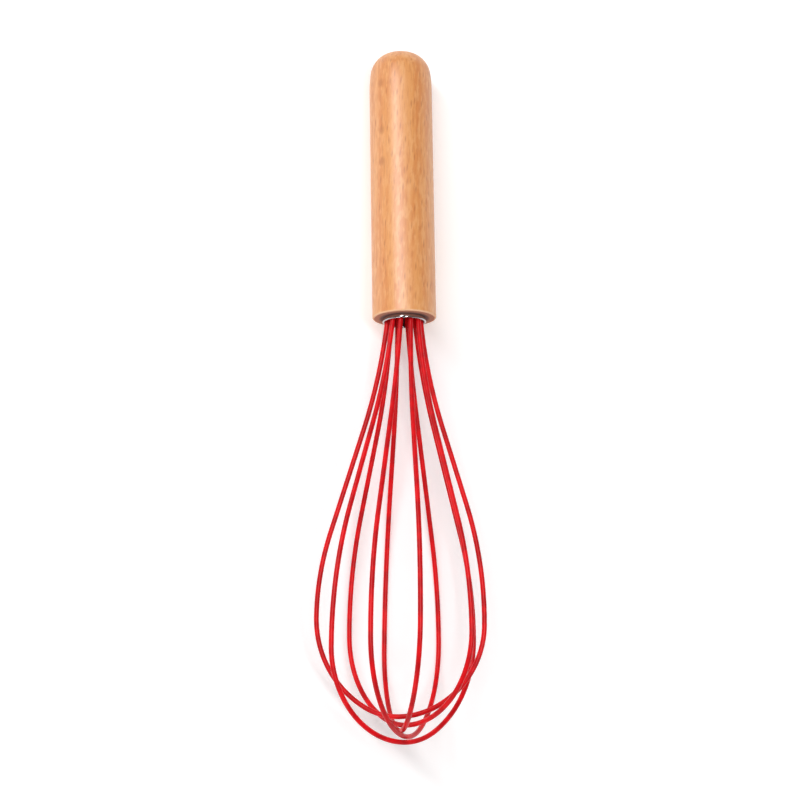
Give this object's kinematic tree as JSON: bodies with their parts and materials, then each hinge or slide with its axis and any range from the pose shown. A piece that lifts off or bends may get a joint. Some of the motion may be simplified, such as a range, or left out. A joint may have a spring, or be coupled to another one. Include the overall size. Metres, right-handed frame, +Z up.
{
  "type": "balloon whisk",
  "caption": "Balloon whisk with a turned wooden handle and a cage of nested steel wire loops in red silicone sleeves, lying on its side.",
  "frame": {"origin": "middle of the whole whisk's footprint, on the table top that it lies on", "axes": "+Y along the handle towards its domed end, -Y towards the cage's tip, +Z up from the table, +X to the right as seen from above with the handle pointing away"},
  "size_m": [0.0592, 0.255, 0.0585],
  "materials": {
    "beech": "fine-sanded beech under a thin oil",
    "ring_metal": "polished stainless steel",
    "plug_nylon": "moulded dark red nylon",
    "resin": "poured amber epoxy",
    "silicone": "satin red silicone",
    "wire_steel": "drawn stainless spring wire"
  },
  "bodies": {
    "root": {"handle": "beech", "mouth_ring": "ring_metal", "leg_plug": "plug_nylon", "resin": "resin", "sleeve_1": "silicone", "sleeve_2": "silicone", "sleeve_3": "silicone", "sleeve_4": "silicone", "sleeve_5": "silicone", "wire_1": "wire_steel", "wire_2": "wire_steel", "wire_3": "wire_steel", "wire_4": "wire_steel", "wire_5": "wire_steel"}
  },
  "joints": []
}
